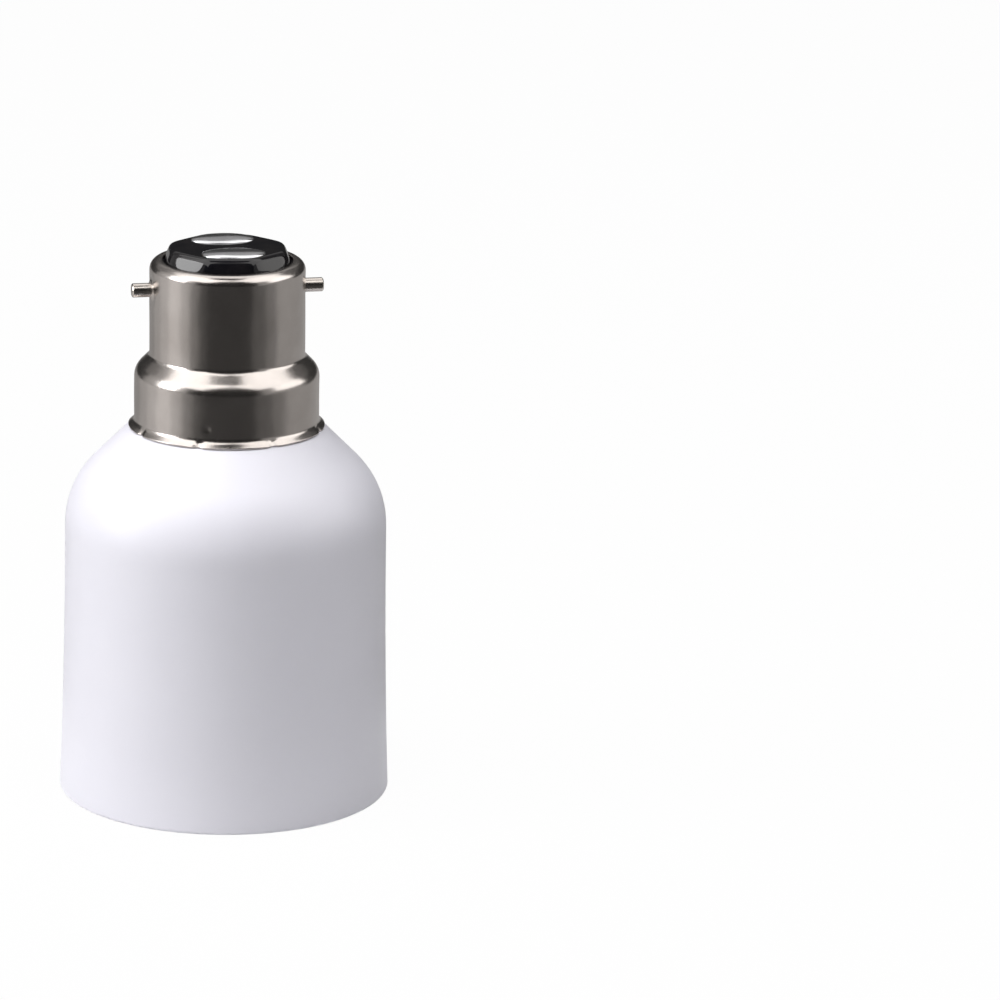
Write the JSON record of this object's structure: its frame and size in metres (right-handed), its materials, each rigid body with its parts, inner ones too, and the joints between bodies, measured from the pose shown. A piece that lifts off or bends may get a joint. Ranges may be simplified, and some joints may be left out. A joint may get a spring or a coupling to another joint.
{
  "type": "lamp socket adapter",
  "caption": "Bell-shaped adapter: a bayonet lamp cap on top feeds a large Edison screw socket in its open mouth, with a sprung centre contact.",
  "frame": {"origin": "centre of the circle that the socket's rim stands on", "axes": "+Z runs from the socket's mouth to the bayonet contacts; X runs along the two bayonet pins; Y runs through the two supply contacts and the two shell screws"},
  "size_m": [0.0472, 0.0472, 0.08],
  "materials": {
    "housing_plastic": "white moulded thermoplastic, satin gloss",
    "shell_nickel": "nickel-plated rolled sheet, slightly warm",
    "cap_nickel": "satin nickel plate on drawn sheet",
    "pin_nickel": "nickel-plated turned brass",
    "black_glass": "glossy opaque black pressed glass",
    "solder": "bright dip-soldered dome",
    "screw_plate": "zinc-plated steel",
    "contact_brass": "turned brass",
    "brass_terminal": "stamped brass",
    "bush_plastic": "pale moulded insulation",
    "spring_steel": "stainless spring wire",
    "copper": "tinned copper wire",
    "live_sleeve": "brown wire insulation",
    "neutral_sleeve": "blue wire insulation"
  },
  "bodies": {
    "adapter": {"housing": "housing_plastic", "screw_shell": "shell_nickel", "shell_tag": "brass_terminal", "contact_terminal": "brass_terminal", "contact_bush": "bush_plastic", "contact_spring": "spring_steel", "cap_shell": "cap_nickel", "cap_insulator": "black_glass", "shell_screw_front": "screw_plate", "shell_screw_back": "screw_plate", "contact_eyelet_front": "brass_terminal", "contact_eyelet_back": "brass_terminal", "solder_contact_front": "solder", "solder_contact_back": "solder", "bayonet_pin_left": "pin_nickel", "bayonet_pin_right": "pin_nickel", "live_wire_core": "copper", "live_wire_sleeve": "live_sleeve", "neutral_wire_core": "copper", "neutral_wire_sleeve": "neutral_sleeve"},
    "contact": {"centre_contact": "contact_brass"}
  },
  "joints": [
    {"name": "contact_slide", "type": "slide", "parent": "adapter", "child": "contact", "axis": [0, 0, 1], "range_m": [0, 0.002], "stiffness_N_per_m": 1500, "deforming": ["contact_spring"]}
  ]
}
